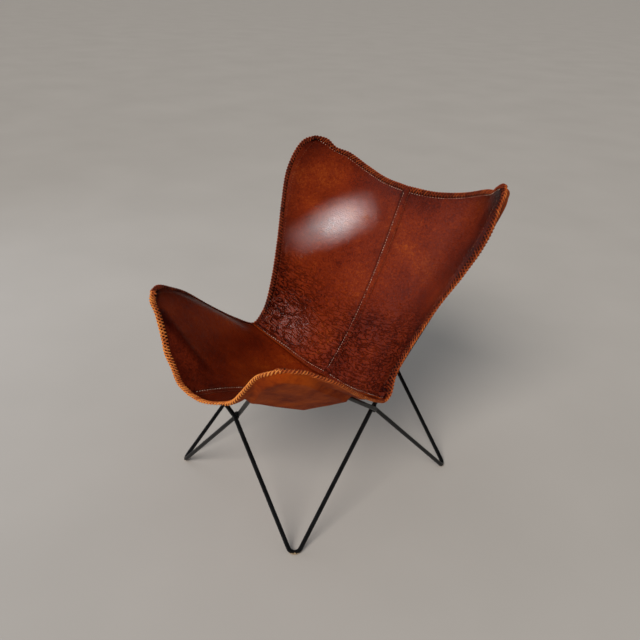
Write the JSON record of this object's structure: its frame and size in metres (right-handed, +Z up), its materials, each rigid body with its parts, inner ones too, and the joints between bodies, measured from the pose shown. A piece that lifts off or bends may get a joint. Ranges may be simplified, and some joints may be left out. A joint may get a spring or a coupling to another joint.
{
  "type": "butterfly sling chair",
  "caption": "Low lounge chair with a seamed leather sling hung by four tip pockets on a welded bent-rod frame.",
  "frame": {"origin": "on the floor, in the chair's plane of symmetry, midway between its front and its back", "axes": "+Z up, -Y is the chair's front, +X is on the right of a viewer who faces the chair"},
  "size_m": [0.7576, 0.8184, 0.9009],
  "materials": {
    "rod_paint": "semi-gloss black powder coat",
    "weld_paint": "semi-gloss black powder coat over a weld bead",
    "sitting_leather": "glossy, waxed and mottled reddish brown",
    "pocket_leather": "matt tan flesh side",
    "lacing_leather": "satin lacing"
  },
  "bodies": {
    "root": {"leg_front_right": "rod_paint", "leg_front_left": "rod_paint", "leg_back_right": "rod_paint", "leg_back_left": "rod_paint", "arm_rod_front_right": "rod_paint", "arm_rod_front_left": "rod_paint", "back_rod_right": "rod_paint", "back_rod_left": "rod_paint", "weld_front_upper": "weld_paint", "weld_front_lower": "weld_paint", "weld_back_upper": "weld_paint", "weld_back_lower": "weld_paint", "weld_right_upper": "weld_paint", "weld_right_lower": "weld_paint", "weld_left_upper": "weld_paint", "weld_left_lower": "weld_paint", "seat_panel_right": "sitting_leather", "seat_panel_left": "sitting_leather", "back_panel_right": "sitting_leather", "back_panel_left": "sitting_leather", "tip_pocket_front_right": "pocket_leather", "tip_pocket_front_left": "pocket_leather", "tip_pocket_back_right": "pocket_leather", "tip_pocket_back_left": "pocket_leather", "edge_lacing_front": "lacing_leather", "edge_lacing_top": "lacing_leather", "edge_lacing_right": "lacing_leather", "edge_lacing_left": "lacing_leather"}
  },
  "joints": []
}
